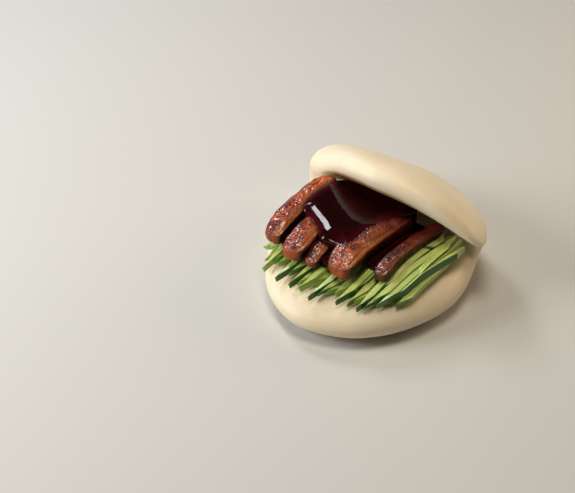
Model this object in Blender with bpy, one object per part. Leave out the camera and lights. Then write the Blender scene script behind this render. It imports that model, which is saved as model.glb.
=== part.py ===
"""A folded steamed bun filled with cucumber batons, five slices of glazed roast meat and dark sauce.

The bun stands on its lower half. Its mouth looks along -Y, the fold is at +Y and the width runs along X.
"""

import random
from math import asin, cos, exp, pi, radians, sin, sqrt, tanh

import bmesh
import bpy
from mathutils import Vector, noise

MM = 0.001

# The dough, seen as a flat oval that is folded once across X. HALF_WIDTH runs along X, and the two
# reaches run from the fold's line to the rim of the lower half and to the rim of the lid. The lid
# widens and thins by these shares on its way to each side (below zero it thickens), and each waist
# narrows the dough at the fold.
HALF_WIDTH = 58.3 * MM
BASE_REACH = 115.3 * MM
LID_REACH = 64.7 * MM
BASE_THICKNESS = 21.0 * MM
LID_THICKNESS = 17.5 * MM
BASE_SQUARENESS = 1.91
LID_SQUARENESS_RIGHT = 1.85
LID_SQUARENESS_LEFT = 1.62
PLUMPNESS = 10.3
LID_WIDENING_RIGHT = 0.118
LID_WIDENING_LEFT = 0.107
LID_THINNING_RIGHT = 0.311
LID_THINNING_LEFT = -0.413
BLEND_LENGTH = 15.0 * MM
WAIST_LENGTH = 17.5 * MM
WAIST_RIGHT = 0.188
WAIST_LEFT = 0.021

# The fold: how far the lid opens in the middle and how much more at its sides, the small radius inside
# the crease, how quickly the lid bends back, and how far each end of the crease is pulled forward.
# Each side of the lid hangs down by its droop, which grows with that power of the distance from the
# middle and is complete at its length from the crease.
OPENING = radians(38.8)
SIDE_OPENING = radians(11.4)
CREASE_RADIUS = 2.9 * MM
LID_CURVE = 0.0046 / MM
FOLD_PULL_RIGHT = 25.3 * MM
FOLD_PULL_LEFT = 13.9 * MM
SIDE_DROOP_RIGHT = 10.5 * MM
SIDE_DROOP_LEFT = 10.8 * MM
DROOP_POWER_RIGHT = 2.5
DROOP_POWER_LEFT = 1.94
DROOP_LENGTH_RIGHT = 40.9 * MM
DROOP_LENGTH_LEFT = 23.8 * MM
SIDE_BLEND = 12.0 * MM

# The crease lies this far behind the origin, and the underside is flattened by its own weight.
FOLD_Y = 39.0 * MM
SETTLE = 0.5 * MM

BUN_RING_POINTS = 44
BASE_RINGS = 15
FOLD_RINGS = 9
LID_RINGS = 13

# Touching foods keep this much air between them.
GAP = 0.35 * MM

# Cucumber batons. They lie in two layers from front to back, their tips on a shallow arc, and a
# few more cross each other on the open right side. Each layer: how many, and its first and last x in mm.
BATON_WIDTH = 4.4 * MM
BATON_HEIGHT = 3.8 * MM
BATON_LAYERS = ((12, -37.0, 39.0), (9, -34.0, 24.0))
BATON_CLEARANCE = 1.1 * MM
BATON_LAYER_STEP = 3.0 * MM
BATON_TIP_LIFT = 0.3
BATON_TIP_SHARE = 0.45
BATON_FRONT_Y = -49.0 * MM
BATON_FRONT_CURVE = 0.0115 / MM
BATON_BACK_Y = 25.0 * MM
BATON_BACK_CURVE = 0.012 / MM
BATON_CONVERGENCE = 0.94
BATON_SLANT = 2.6 * MM
BATON_SLANT_LENGTH = 4
BATON_SAG = 0.85
BATON_TWIST = 0.12
BATON_RINGS = 7
BATON_RING_BIAS = 1.5
BATON_SEED = 11

# Side batons: front end and back end in plan (mm), and the layer that each one lies at.
SIDE_BATONS = (
    ((27.0, -43.5), (40.5, 13.0), 0.9),
    ((32.0, -37.0), (39.2, 17.0), 1.9),
    ((36.0, -31.0), (44.5, 12.0), 1.1),
    ((41.0, -31.0), (46.5, 11.0), 0.5),
)
SIDE_BATON_TWIST = 0.08

# The sticks under the meat lie so close that they are one low block.
BED_HALF_WIDTH = 31.0 * MM
BED_FRONT_Y = -26.0 * MM
BED_BACK_Y = 25.0 * MM
BED_TOP = 27.2 * MM
BED_OUTLINE_POINTS = 24
BED_SQUARENESS = 3.3

# Meat slices lie side by side on the cucumber, each one given by its two ends in plan (mm), its width
# at the front and at the back, its height, how far its middle bends to the right, and how much higher
# its back end lies. Their front ends droop a little.
MEAT_BOTTOM = 28.3
MEAT_SLICES = (
    {"front": (-33.6, -36.0), "back": (-32.4, 15.0), "widths": (12.4, 10.8), "height": 10.8,
     "bend": -2.2, "rise": 4.5},
    {"front": (-18.6, -40.6), "back": (-22.0, 13.0), "widths": (12.8, 10.4), "height": 10.6,
     "bend": 0.4, "rise": 0.0},
    {"front": (-7.4, -39.0), "back": (-12.2, 7.0), "widths": (8.0, 7.2), "height": 6.8,
     "bend": -0.6, "rise": 0.0},
    {"front": (7.6, -37.5), "back": (13.4, 15.0), "widths": (15.4, 14.0), "height": 11.4,
     "bend": -2.6, "rise": 0.0},
    {"front": (25.4, -27.0), "back": (31.0, 21.5), "widths": (7.6, 6.0), "height": 7.4,
     "bend": -1.6, "rise": 0.0},
)
MEAT_DROOP = 2.2
MEAT_DROOP_SHARE = 0.35
MEAT_RINGS = 18
MEAT_RING_POINTS = 20
MEAT_SQUARENESS = 3.6
MEAT_END_SQUARENESS = 5.0
MEAT_RELIEF = 0.8 * MM
MEAT_RELIEF_SIZE = 5.0 * MM
MEAT_RELIEF_SINK = 0.8

# The sauce lies over the back of the slices and runs forward between them. Its rim in plan, in mm. To
# the right of the line SAUCE_STEP_X + SAUCE_STEP_LEAN * y it lies lower, between the last two slices.
SAUCE_RIM = (
    (-31.2, 15.6), (-29.5, 6.0), (-27.0, -4.0), (-24.0, -12.0), (-17.5, -16.5), (-12.0, -22.0),
    (-8.0, -26.0), (-3.5, -25.5), (4.0, -23.0), (12.0, -21.5), (21.0, -21.0), (25.0, -17.0),
    (26.0, -5.0), (27.5, 8.0), (28.5, 16.0), (24.0, 20.5), (9.0, 21.5), (-6.0, 22.0), (-22.0, 19.2),
)
SAUCE_CENTRE = (-6.0, 1.0)
SAUCE_RIM_HEIGHT = 36.6 * MM
SAUCE_CROWN = 4.6 * MM
SAUCE_BOTTOM = 32.5 * MM
SAUCE_STEP_X = 10.5
SAUCE_STEP_LEAN = 0.12
SAUCE_STEP_WIDTH = 3.0
SAUCE_STEP_DOWN = 6.0 * MM
SAUCE_BOTTOM_DOWN = 4.2 * MM
SAUCE_CROWN_POWER = 3
SAUCE_BELLY_POWER = 6
SAUCE_RINGS = 7
SAUCE_POINTS_PER_SIDE = 3


def clear_scene():
    for obj in list(bpy.data.objects):
        bpy.data.objects.remove(obj, do_unlink=True)


def make_material(name, colour, roughness):
    material = bpy.data.materials.new(name)
    material.use_nodes = True
    shader = material.node_tree.nodes["Principled BSDF"]
    shader.inputs["Base Color"].default_value = (*colour, 1.0)
    shader.inputs["Roughness"].default_value = roughness
    shader.inputs["Metallic"].default_value = 0.0
    material.diffuse_color = (*colour, 1.0)
    return material


def make_object(name, points, faces, material=None):
    """A closed mesh object whose faces all point outwards."""
    mesh = bpy.data.meshes.new(name)
    mesh.from_pydata([tuple(point) for point in points], [], faces)
    shape = bmesh.new()
    shape.from_mesh(mesh)
    bmesh.ops.recalc_face_normals(shape, faces=shape.faces)
    shape.to_mesh(mesh)
    shape.free()
    mesh.shade_smooth()
    obj = bpy.data.objects.new(name, mesh)
    bpy.context.scene.collection.objects.link(obj)
    if material:
        mesh.materials.append(material)
    return obj


def loft_faces(ring_count, ring_points):
    """Faces of a closed loft: rings one after another, then the two end points."""
    first_end = ring_count * ring_points
    last_end = first_end + 1
    faces = []
    for ring in range(ring_count - 1):
        for here in range(ring_points):
            after = (here + 1) % ring_points
            low = ring * ring_points
            high = low + ring_points
            faces.append((low + here, low + after, high + after, high + here))
    top = (ring_count - 1) * ring_points
    for here in range(ring_points):
        after = (here + 1) % ring_points
        faces.append((first_end, after, here))
        faces.append((last_end, top + here, top + after))
    return faces


def lid_share(s):
    """0 on the lower half, 1 on the lid, changing smoothly over the fold."""
    return 0.5 + 0.5 * tanh(s / BLEND_LENGTH)


def right_or_left(x, right, left):
    """A size that differs between the two sides of the bun, changing smoothly over its middle."""
    share = 0.5 - 0.5 * tanh(x / SIDE_BLEND)
    return right * (1 - share) + left * share


def reach_and_power(x, s):
    """The flat oval's reach and squareness in the quarter where x and s lie."""
    if s <= 0:
        return BASE_REACH, BASE_SQUARENESS
    if x >= 0:
        return LID_REACH, LID_SQUARENESS_RIGHT
    return LID_REACH, LID_SQUARENESS_LEFT


def flat_half_width(x, s):
    """Half the width of the flat oval at distance s from the fold's line, on the side where x lies."""
    reach, power = reach_and_power(x, s)
    return HALF_WIDTH * max(0.0, 1 - (abs(s) / reach) ** power) ** (1 / power)


def edge_share(x, s):
    """0 in the middle of the flat oval and 1 on its rim."""
    reach, power = reach_and_power(x, s)
    return ((abs(x) / HALF_WIDTH) ** power + (abs(s) / reach) ** power) ** (1 / power)


def width_factor(x, s):
    """The fold narrows the dough on one side, and the lid is a little wider than the lower half."""
    waist = right_or_left(x, WAIST_RIGHT, WAIST_LEFT)
    widening = right_or_left(x, LID_WIDENING_RIGHT, LID_WIDENING_LEFT)
    return (1 - waist * exp(-((s / WAIST_LENGTH) ** 2))) * (1 + widening * lid_share(s))


def half_thickness(x, s, edge):
    """Half the dough's thickness; x is measured on the dough after width_factor."""
    lid = lid_share(s)
    thinning = right_or_left(x, LID_THINNING_RIGHT, LID_THINNING_LEFT)
    lid_thickness = LID_THICKNESS * (1 - thinning * (x / HALF_WIDTH) ** 2)
    thickness = BASE_THICKNESS * (1 - lid) + lid_thickness * lid
    return 0.5 * thickness * sqrt(max(0.0, 1 - edge**PLUMPNESS))


def fold_radius():
    return CREASE_RADIUS + 0.25 * (BASE_THICKNESS + LID_THICKNESS)


def fold_turn(side):
    """How far the dough turns over at this share of the half width."""
    return pi - (OPENING + SIDE_OPENING * side**2)


def fold_dough(x, s, height):
    """Where a point of the flat dough lies once it is folded. height is above the dough's middle."""
    side = x / HALF_WIDTH
    radius = fold_radius()
    turn = fold_turn(side)
    start = -0.5 * radius * turn
    angle = min(max((s - start) / radius, 0.0), turn)
    before = min(s - start, 0.0)
    beyond = max(s + start, 0.0)
    slope = turn + LID_CURVE * beyond
    pull = right_or_left(x, FOLD_PULL_RIGHT, FOLD_PULL_LEFT) * side**2
    y = before + radius * sin(angle) + (sin(slope) - sin(turn)) / LID_CURVE
    z = radius * (1 - cos(angle)) - (cos(slope) - cos(turn)) / LID_CURVE
    heading = angle + LID_CURVE * beyond
    power = right_or_left(x, DROOP_POWER_RIGHT, DROOP_POWER_LEFT)
    length = right_or_left(x, DROOP_LENGTH_RIGHT, DROOP_LENGTH_LEFT)
    deepest = right_or_left(x, SIDE_DROOP_RIGHT, SIDE_DROOP_LEFT)
    droop = deepest * abs(side) ** power * min(beyond / length, 1.0)
    y += FOLD_Y - pull - height * sin(heading)
    z += 0.5 * BASE_THICKNESS - SETTLE - droop + height * cos(heading)
    return Vector((x, y, max(z, 0.0)))


def ring_places():
    """Distances from the fold's line at which the bun's rings lie, closer together near the rims."""
    fold = 0.5 * fold_radius() * fold_turn(0)
    places = []
    for ring in range(1, BASE_RINGS):
        share = ring / BASE_RINGS
        angle = pi / 2 * (1 - share) + asin(fold / BASE_REACH) * share
        places.append(-BASE_REACH * sin(angle))
    for ring in range(FOLD_RINGS + 1):
        places.append(fold * (2 * ring / FOLD_RINGS - 1))
    for ring in range(1, LID_RINGS):
        share = ring / LID_RINGS
        angle = asin(fold / LID_REACH) * (1 - share) + pi / 2 * share
        places.append(LID_REACH * sin(angle))
    return places


def make_bun(material):
    points = []
    places = ring_places()
    for s in places:
        for step in range(BUN_RING_POINTS):
            angle = 2 * pi * step / BUN_RING_POINTS
            flat_x = flat_half_width(cos(angle), s) * cos(angle)
            x = flat_x * width_factor(flat_x, s)
            height = half_thickness(x, s, min(edge_share(flat_x, s), 1.0))
            if step in (0, BUN_RING_POINTS // 2):
                height = 0.0
            side = 1 if step < BUN_RING_POINTS / 2 else -1
            points.append(fold_dough(x, s, side * height))
    points.append(fold_dough(0.0, -BASE_REACH, 0.0))
    points.append(fold_dough(0.0, LID_REACH, 0.0))
    return make_object("bun", points, loft_faces(len(places), BUN_RING_POINTS), material)


def rest_height(x, y):
    """Height of the lower half's top in front of the crease, where the filling lies."""
    side = x / HALF_WIDTH
    pull = right_or_left(x, FOLD_PULL_RIGHT, FOLD_PULL_LEFT) * side**2
    s = min(y - FOLD_Y + pull - 0.5 * fold_radius() * fold_turn(side), 0.0)
    edge = min(edge_share(x / width_factor(x, s), s), 1.0)
    return 0.5 * BASE_THICKNESS - SETTLE + half_thickness(x, s, edge)


def signed_power(value, power):
    return abs(value) ** power * (1 if value >= 0 else -1)


def relief(point, seed):
    """Uneven roasted surface: broad lumps with lumps of half their size, between -1 and 1."""
    place = point / MEAT_RELIEF_SIZE + Vector((10.0 * seed, 0.0, 0.0))
    return 0.65 * noise.noise(place) + 0.35 * noise.noise(2 * place)


def meat_mesh(slice_, seed, grow=0.0):
    """Points and faces of one slice: rounded rectangles lofted from its front end to its back end."""
    front = Vector(slice_["front"]) * MM
    back = Vector(slice_["back"]) * MM
    front_width, back_width = (width * MM for width in slice_["widths"])
    height = slice_["height"] * MM
    along = (back - front).normalized()
    across = Vector((along.y, -along.x))
    points = []

    def centre(share):
        plan = front.lerp(back, share) + across * slice_["bend"] * MM * sin(pi * share)
        droop = MEAT_DROOP * MM * max(0.0, 1 - share / MEAT_DROOP_SHARE) ** 2
        rise = slice_["rise"] * MM * share**2
        return Vector((plan.x, plan.y, MEAT_BOTTOM * MM + 0.5 * height - droop + rise))

    for ring in range(1, MEAT_RINGS):
        place = -cos(pi * ring / MEAT_RINGS)
        share = 0.5 + 0.5 * place
        middle = centre(share)
        middle += Vector((*along, 0.0)) * place * grow
        end = (1 - abs(place) ** MEAT_END_SQUARENESS) ** (1 / MEAT_END_SQUARENESS)
        half_width = 0.5 * (front_width * (1 - share) + back_width * share) * end + grow
        half_height = 0.5 * height * end + grow
        for step in range(MEAT_RING_POINTS):
            angle = 2 * pi * (step + 0.5) / MEAT_RING_POINTS
            sideways = signed_power(cos(angle), 2 / MEAT_SQUARENESS)
            upwards = signed_power(sin(angle), 2 / MEAT_SQUARENESS)
            point = middle + Vector((*(across * sideways * half_width), upwards * half_height))
            outwards = Vector((*(across * sideways), upwards)).normalized()
            ridge = relief(middle + outwards * half_width, seed) - MEAT_RELIEF_SINK
            points.append(point + outwards * ridge * MEAT_RELIEF * end)
    longer = Vector((*along, 0.0)) * grow
    points.append(centre(0.0) - longer)
    points.append(centre(1.0) + longer)
    return points, loft_faces(MEAT_RINGS - 1, MEAT_RING_POINTS)


def make_meat(material):
    for number, slice_ in enumerate(MEAT_SLICES, 1):
        make_object(f"meat_{number}", *meat_mesh(slice_, number), material)


def baton_object(front, back, layer, twist):
    """A four-sided stick with slanted ends that follows the dough under it."""
    along = (back - front).normalized()
    across = Vector((along.y, -along.x))
    bed_level = rest_height(0.0, 0.0)
    points = []
    for ring in range(BATON_RINGS):
        share = (ring / (BATON_RINGS - 1)) ** BATON_RING_BIAS
        end = 2 * share - 1
        plan = front.lerp(back, share)
        rest = bed_level * (1 - BATON_SAG) + rest_height(plan.x, plan.y) * BATON_SAG
        lift = layer * (BATON_TIP_LIFT + (1 - BATON_TIP_LIFT) * min(share / BATON_TIP_SHARE, 1.0))
        height = rest + BATON_CLEARANCE + 0.5 * BATON_HEIGHT + lift * BATON_LAYER_STEP
        for corner in range(4):
            angle = pi / 4 + pi / 2 * corner
            sideways = sqrt(0.5) * BATON_WIDTH * cos(angle + twist)
            upwards = sqrt(0.5) * BATON_HEIGHT * sin(angle + twist)
            slant = BATON_SLANT * 2 * sideways / BATON_WIDTH * abs(end) ** BATON_SLANT_LENGTH
            spot = plan + across * sideways + along * slant
            points.append(Vector((spot.x, spot.y, height + upwards)))
    faces = []
    for ring in range(BATON_RINGS - 1):
        for here in range(4):
            after = (here + 1) % 4
            low = ring * 4
            faces.append((low + here, low + after, low + 4 + after, low + 4 + here))
    last = 4 * (BATON_RINGS - 1)
    faces.append((0, 1, 2, 3))
    faces.append((last + 3, last + 2, last + 1, last))
    return make_object("baton", points, faces)


def make_batons():
    draw = random.Random(BATON_SEED)
    batons = []
    for layer, (count, first, last) in enumerate(BATON_LAYERS):
        for number in range(count):
            x = (first + (last - first) * number / (count - 1) + draw.uniform(-0.9, 0.9)) * MM
            front_y = BATON_FRONT_Y + BATON_FRONT_CURVE * x**2 + 2 * layer * MM
            front = Vector((x, front_y + draw.uniform(-3.0, 4.0) * MM))
            back_y = BATON_BACK_Y - BATON_BACK_CURVE * x**2 + draw.uniform(-4.0, 1.0) * MM
            back = Vector((BATON_CONVERGENCE * x + draw.uniform(-2.0, 2.0) * MM, back_y))
            twist = draw.uniform(-BATON_TWIST, BATON_TWIST)
            batons.append(baton_object(front, back, layer, twist))
    for front, back, layer in SIDE_BATONS:
        batons.append(baton_object(Vector(front) * MM, Vector(back) * MM, layer, SIDE_BATON_TWIST))
    return batons


def make_bed():
    middle_y = 0.5 * (BED_FRONT_Y + BED_BACK_Y)
    half_length = 0.5 * (BED_BACK_Y - BED_FRONT_Y)
    bottom = rest_height(0.0, middle_y) + GAP
    points = []
    for height in (bottom, BED_TOP):
        for step in range(BED_OUTLINE_POINTS):
            angle = 2 * pi * step / BED_OUTLINE_POINTS
            x = BED_HALF_WIDTH * signed_power(cos(angle), 2 / BED_SQUARENESS)
            y = middle_y + half_length * signed_power(sin(angle), 2 / BED_SQUARENESS)
            points.append(Vector((x, y, height)))
    top = BED_OUTLINE_POINTS
    faces = [tuple(range(top)), tuple(reversed(range(top, 2 * top)))]
    for here in range(top):
        after = (here + 1) % top
        faces.append((here, after, top + after, top + here))
    return make_object("cucumber", points, faces)


def apply_modifiers(obj):
    """Replaces the object's mesh by its evaluated one."""
    graph = bpy.context.evaluated_depsgraph_get()
    mesh = bpy.data.meshes.new_from_object(obj.evaluated_get(graph))
    obj.modifiers.clear()
    obj.data = mesh


def keep_largest_shell(obj):
    """Fills the hollows that a union seals and drops loose scraps: only the outer shell stays."""
    shape = bmesh.new()
    shape.from_mesh(obj.data)
    bmesh.ops.triangulate(shape, faces=shape.faces)
    waiting = set(shape.faces)
    shells = []
    while waiting:
        shell = [waiting.pop()]
        for face in shell:
            for edge in face.edges:
                for other in edge.link_faces:
                    if other in waiting:
                        waiting.remove(other)
                        shell.append(other)
        corners = ([loop.vert.co for loop in face.loops] for face in shell)
        volume = sum(a.dot(b.cross(c)) for a, b, c in corners) / 6
        shells.append((volume, len(shells), shell))
    shells.sort(key=lambda entry: entry[0])
    for _, _, shell in shells[:-1]:
        bmesh.ops.delete(shape, geom=shell, context="FACES")
    shape.to_mesh(obj.data)
    shape.free()


def make_cucumber(material):
    bed = make_bed()
    bed.data.materials.append(material)
    batons = make_batons()
    heap = bpy.data.collections.new("batons")
    bpy.context.scene.collection.children.link(heap)
    for baton in batons:
        bpy.context.scene.collection.objects.unlink(baton)
        heap.objects.link(baton)
    union = bed.modifiers.new("union", "BOOLEAN")
    union.operation = "UNION"
    union.operand_type = "COLLECTION"
    union.collection = heap
    union.solver = "EXACT"
    apply_modifiers(bed)
    keep_largest_shell(bed)
    for baton in batons:
        bpy.data.objects.remove(baton, do_unlink=True)
    bpy.data.collections.remove(heap)
    return bed


def spline_point(points, place):
    """A point on the closed smooth curve through the points; place counts in points."""
    count = len(points)
    index = int(place) % count
    share = place - int(place)
    a, b, c, d = (Vector(points[(index + offset) % count]) for offset in (-1, 0, 1, 2))
    return 0.5 * (
        2 * b
        + (c - a) * share
        + (2 * a - 5 * b + 4 * c - d) * share**2
        + (3 * b - a - 3 * c + d) * share**3
    )


def sauce_point(plan, share, lower):
    """A point on the upper or lower side of the sauce; plan is in mm, and share is 1 on the rim."""
    step = 0.5 + 0.5 * tanh((plan.x - SAUCE_STEP_X - SAUCE_STEP_LEAN * plan.y) / SAUCE_STEP_WIDTH)
    rim_height = SAUCE_RIM_HEIGHT - SAUCE_STEP_DOWN * step
    if lower:
        depth = rim_height - SAUCE_BOTTOM + SAUCE_BOTTOM_DOWN * step
        height = rim_height - depth * sqrt(max(0.0, 1 - share**SAUCE_BELLY_POWER))
    else:
        height = rim_height + SAUCE_CROWN * sqrt(max(0.0, 1 - share**SAUCE_CROWN_POWER))
    return Vector((plan.x * MM, plan.y * MM, height))


def make_sauce(material):
    """A crowned pool inside its rim, from which the slices, a little enlarged, are cut away."""
    centre = Vector(SAUCE_CENTRE)
    ring_points = len(SAUCE_RIM) * SAUCE_POINTS_PER_SIDE
    rim = [spline_point(SAUCE_RIM, step / SAUCE_POINTS_PER_SIDE) for step in range(ring_points)]
    points = []
    for ring in range(1, 2 * SAUCE_RINGS):
        share = sin(pi / 2 * ring / SAUCE_RINGS)
        for spot in rim:
            points.append(sauce_point(centre.lerp(spot, share), share, ring > SAUCE_RINGS))
    points.append(sauce_point(centre, 0.0, False))
    points.append(sauce_point(centre, 0.0, True))
    sauce = make_object("sauce", points, loft_faces(2 * SAUCE_RINGS - 1, ring_points), material)
    cutters = []
    for number, slice_ in enumerate(MEAT_SLICES, 1):
        cutter = make_object(f"cutter_{number}", *meat_mesh(slice_, number, GAP))
        cut = sauce.modifiers.new(f"slice {number}", "BOOLEAN")
        cut.operation = "DIFFERENCE"
        cut.solver = "EXACT"
        cut.object = cutter
        cutters.append(cutter)
    apply_modifiers(sauce)
    keep_largest_shell(sauce)
    for cutter in cutters:
        bpy.data.objects.remove(cutter, do_unlink=True)
    return sauce


def main():
    clear_scene()
    make_bun(make_material("steamed dough", (0.80, 0.69, 0.50), 0.45))
    make_cucumber(make_material("cucumber", (0.42, 0.52, 0.16), 0.35))
    make_meat(make_material("roast meat", (0.30, 0.07, 0.02), 0.30))
    make_sauce(make_material("dark sauce", (0.035, 0.003, 0.003), 0.08))


main()
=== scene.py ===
# %% [markdown]
# # A folded steamed bun with roast meat, cucumber and dark sauce
#
# This lesson dresses a plain model of a filled bun. The model gives the exact places and sizes. Here
# each food gets its real surface: soft dough, wet cucumber, glazed meat and a thick glossy sauce.
# Everything is in metres, +Z is up, and the open mouth of the bun looks along -Y.

# %% Load the model that everything is fitted to
import random
from math import cos, pi, radians, sin, sqrt

import bmesh
import bpy
import numpy as np
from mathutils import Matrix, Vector, noise
from mathutils.bvhtree import BVHTree


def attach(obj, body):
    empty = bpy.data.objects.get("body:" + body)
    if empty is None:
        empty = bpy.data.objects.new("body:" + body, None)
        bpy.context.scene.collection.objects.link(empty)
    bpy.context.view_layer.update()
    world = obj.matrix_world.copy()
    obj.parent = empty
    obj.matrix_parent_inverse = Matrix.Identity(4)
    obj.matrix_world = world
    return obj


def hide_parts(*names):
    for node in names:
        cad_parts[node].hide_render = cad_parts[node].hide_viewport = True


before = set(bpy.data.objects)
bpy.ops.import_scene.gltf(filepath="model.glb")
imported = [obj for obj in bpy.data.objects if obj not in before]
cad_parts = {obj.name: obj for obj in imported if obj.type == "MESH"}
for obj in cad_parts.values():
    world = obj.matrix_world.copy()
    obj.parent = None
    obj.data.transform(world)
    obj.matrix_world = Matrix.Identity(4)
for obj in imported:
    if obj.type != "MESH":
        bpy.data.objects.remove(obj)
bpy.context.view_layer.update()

MM = 0.001
print("model nodes:", sorted(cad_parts))

# %% [markdown]
# ## The camera
#
# A table-top photographer stands in front of the open mouth, a little to the right, and looks down at
# about forty degrees with a short telephoto lens. The small lens shift moves the bun off the middle of
# the picture without changing its perspective.

# %% Camera
IMAGE_WIDTH = 575
VIEW_AZIMUTH = radians(36.31)
VIEW_ELEVATION = radians(39.2)
VIEW_DISTANCE = 0.650
VIEW_TARGET = Vector((-0.04797, 0.00197, 0.0))
VIEW_WIDTH_IN_PLAN = 0.55
SENSOR_WIDTH = 36.0
SHIFT_PIXELS = (-5.8, -9.0)


def direction(azimuth, elevation):
    """From the object towards a place; azimuth 0 is straight in front of the mouth."""
    return Vector((sin(azimuth) * cos(elevation), -cos(azimuth) * cos(elevation), sin(elevation)))


def link(obj):
    bpy.context.scene.collection.objects.link(obj)
    return obj


def aim(obj, place, target):
    obj.location = place
    obj.rotation_mode = "QUATERNION"
    obj.rotation_quaternion = (target - place).to_track_quat("-Z", "Y")


camera = link(bpy.data.objects.new("camera", bpy.data.cameras.new("camera")))
aim(camera, VIEW_TARGET + direction(VIEW_AZIMUTH, VIEW_ELEVATION) * VIEW_DISTANCE, VIEW_TARGET)
camera.data.sensor_width = SENSOR_WIDTH
camera.data.lens = VIEW_DISTANCE / VIEW_WIDTH_IN_PLAN / IMAGE_WIDTH * SENSOR_WIDTH * 1000
camera.data.shift_x = SHIFT_PIXELS[0] / IMAGE_WIDTH
camera.data.shift_y = SHIFT_PIXELS[1] / IMAGE_WIDTH
bpy.context.scene.camera = camera
print(f"lens {camera.data.lens:.1f} mm")

# %% [markdown]
# ## Light
#
# Four soft boxes light the food. The window in front on the left is neutral and models the dough. The
# overhead box and the one at the right rear are warm, so that whatever they light alone looks creamy. The
# small cool box at the left rear is the one that the sauce reflects as a white crescent.

# %% Lights and world
LIGHT_TARGET = Vector((0.0, -0.005, 0.035))
LIGHTS = (
    {"name": "window", "azimuth": -50, "elevation": 25, "distance": 0.8, "size": (0.35, 0.35), "power": 4.7,
     "colour": (0.97, 0.985, 1.0)},
    {"name": "overhead", "azimuth": 0, "elevation": 88, "distance": 0.8, "size": (0.3, 0.3), "power": 2.9,
     "colour": (1.0, 0.91, 0.73)},
    {"name": "left_rear", "azimuth": -112, "elevation": 40, "distance": 0.8, "size": (0.15, 0.20),
     "power": 1.75, "colour": (0.94, 0.97, 1.0)},
    {"name": "right_rear", "azimuth": 150, "elevation": 25, "distance": 0.8, "size": (0.35, 0.35),
     "power": 1.5, "colour": (1.0, 0.77, 0.52)},
)
WORLD_STRENGTH = 0.03


def make_light(name, azimuth, elevation, distance, size, power, colour):
    lamp = bpy.data.lights.new(name, "AREA")
    lamp.shape = "RECTANGLE"
    lamp.size, lamp.size_y = size
    lamp.energy = power
    lamp.color = colour
    holder = link(bpy.data.objects.new(name, lamp))
    place = LIGHT_TARGET + direction(radians(azimuth), radians(elevation)) * distance
    aim(holder, place, LIGHT_TARGET)
    return holder


for light in LIGHTS:
    make_light(**light)
world = bpy.data.worlds.new("studio")
world.use_nodes = True
world.node_tree.nodes["Background"].inputs["Color"].default_value = (1.0, 0.95, 0.88, 1.0)
world.node_tree.nodes["Background"].inputs["Strength"].default_value = WORLD_STRENGTH
bpy.context.scene.world = world
bpy.context.scene.view_settings.view_transform = "Standard"
print("lights:", [light["name"] for light in LIGHTS])

# %% [markdown]
# ## Helpers for shader nodes
#
# A material is a small network. These helpers keep the network short to write: an input is given either
# a plain value, or the output of another node, which is then linked.

# %% Shader node helpers


def add(tree, kind, inputs=None, **settings):
    node = tree.nodes.new(kind)
    for name, value in settings.items():
        setattr(node, name, value)
    for name, value in (inputs or {}).items():
        if isinstance(value, bpy.types.NodeSocket):
            tree.links.new(value, node.inputs[name])
        else:
            node.inputs[name].default_value = value
    return node


def calculate(tree, operation, *values, clamp=False):
    """One Math node: its output."""
    inputs = dict(enumerate(values))
    return add(tree, "ShaderNodeMath", inputs, operation=operation, use_clamp=clamp).outputs[0]


def blend_colours(tree, share, first, second, mode="MIX"):
    node = add(tree, "ShaderNodeMix", {0: share, 6: first, 7: second}, data_type="RGBA", blend_type=mode)
    return node.outputs[2]


def between(tree, value, low, high, low_out=0.0, high_out=1.0):
    """The value moved smoothly from the range low..high to low_out..high_out."""
    inputs = {0: value, 1: low, 2: high, 3: low_out, 4: high_out}
    return add(tree, "ShaderNodeMapRange", inputs, interpolation_type="SMOOTHSTEP").outputs[0]


def colour(red, green, blue):
    return (red, green, blue, 1.0)


def new_material(name):
    material = bpy.data.materials.new(name)
    material.use_nodes = True
    material.node_tree.nodes.clear()
    return material


def finish_material(material, shader):
    tree = material.node_tree
    output = add(tree, "ShaderNodeOutputMaterial", {"Surface": shader.outputs[0]})
    for place, node in enumerate(tree.nodes):
        node.location = (place * 180 - 180 * len(tree.nodes), 0)
    output.location = (0, 0)
    return material


def object_place(tree):
    return add(tree, "ShaderNodeTexCoord").outputs["Object"]


def attribute(tree, name):
    """A value that the mesh keeps on its points."""
    return add(tree, "ShaderNodeAttribute", attribute_name=name).outputs["Fac"]


# %% [markdown]
# ## Shared surface effects
#
# Several foods here are uneven in the same two ways: their colour is mottled, and their skin is covered
# with fine bumps. Each effect is one node group, built once, and each material sets its own numbers.

# %% Node group: mottling


def new_group(name, inputs, outputs):
    group = bpy.data.node_groups.new(name, "ShaderNodeTree")
    for socket, kind, value in inputs:
        entry = group.interface.new_socket(socket, in_out="INPUT", socket_type=kind)
        if value is not None:
            entry.default_value = value
    for socket, kind in outputs:
        group.interface.new_socket(socket, in_out="OUTPUT", socket_type=kind)
    return group, group.nodes.new("NodeGroupInput").outputs, group.nodes.new("NodeGroupOutput").inputs


mottling, given, result = new_group(
    "mottling",
    [("Place", "NodeSocketVector", None), ("Scale", "NodeSocketFloat", 100.0),
     ("Low", "NodeSocketFloat", 0.4), ("High", "NodeSocketFloat", 0.6)],
    [("Mask", "NodeSocketFloat")],
)
cloud = add(mottling, "ShaderNodeTexNoise", {"Vector": given["Place"], "Scale": given["Scale"],
                                             "Detail": 3.0, "Roughness": 0.55})
mottling.links.new(between(mottling, cloud.outputs[0], given["Low"], given["High"]), result["Mask"])
print("group:", mottling.name)

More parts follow.
